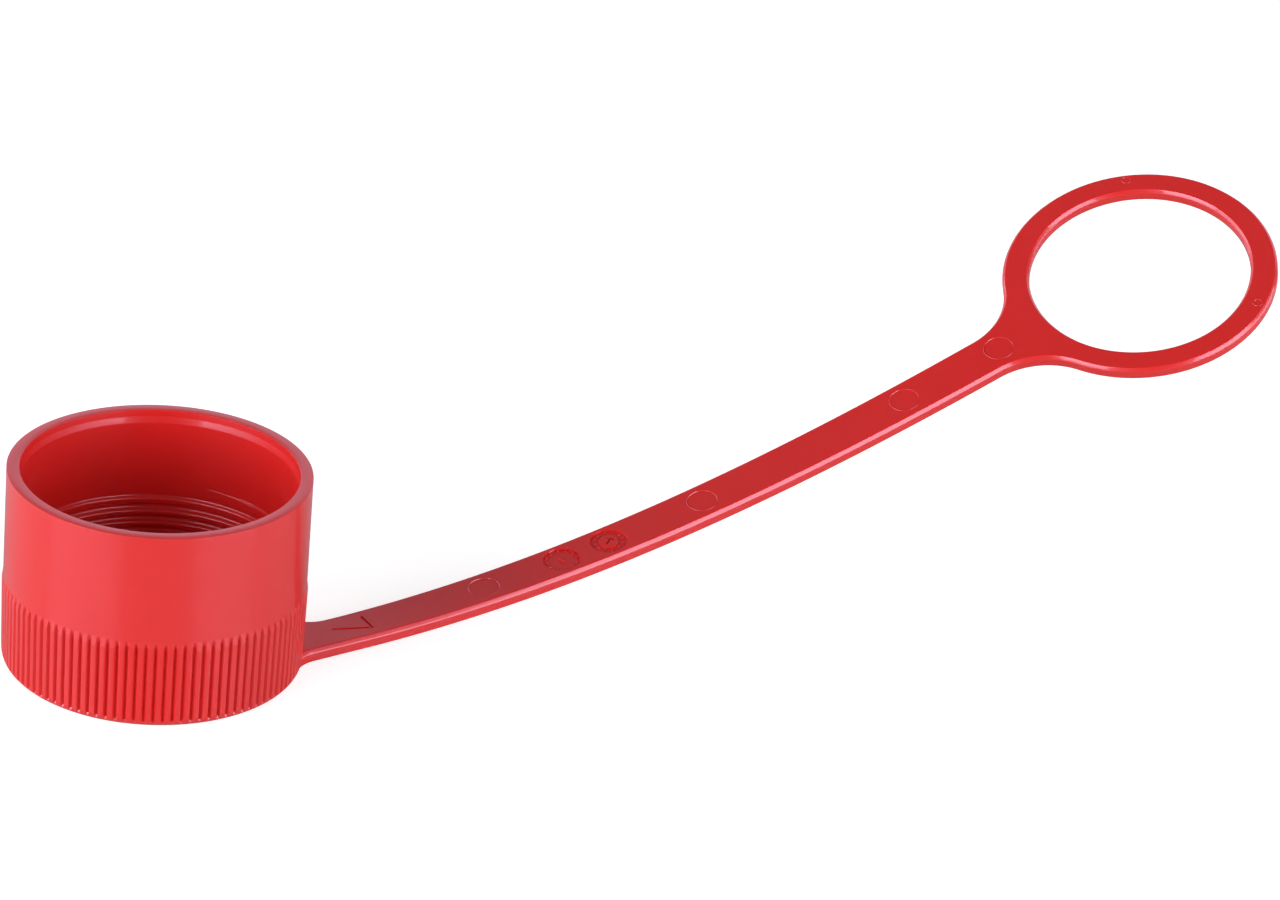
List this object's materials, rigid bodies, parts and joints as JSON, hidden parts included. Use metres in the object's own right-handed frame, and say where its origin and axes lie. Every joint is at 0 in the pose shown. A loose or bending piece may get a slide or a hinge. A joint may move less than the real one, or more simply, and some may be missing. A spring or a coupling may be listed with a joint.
{
  "type": "threaded protection cap",
  "caption": "Red moulded protection cap with an internal thread, a ribbed grip band and a bent strap that ends in a retaining ring.",
  "frame": {"origin": "centre of the closed end, on the face the cap stands on", "axes": "+Z along the cap's axis, out of its mouth; +X along the strap, from the cap towards the ring"},
  "size_m": [0.2207, 0.0563, 0.0538],
  "materials": {
    "cap_plastic": "moulded red polyethylene, satin to glossy"
  },
  "bodies": {
    "root": {"protection_cap": "cap_plastic"}
  },
  "joints": []
}
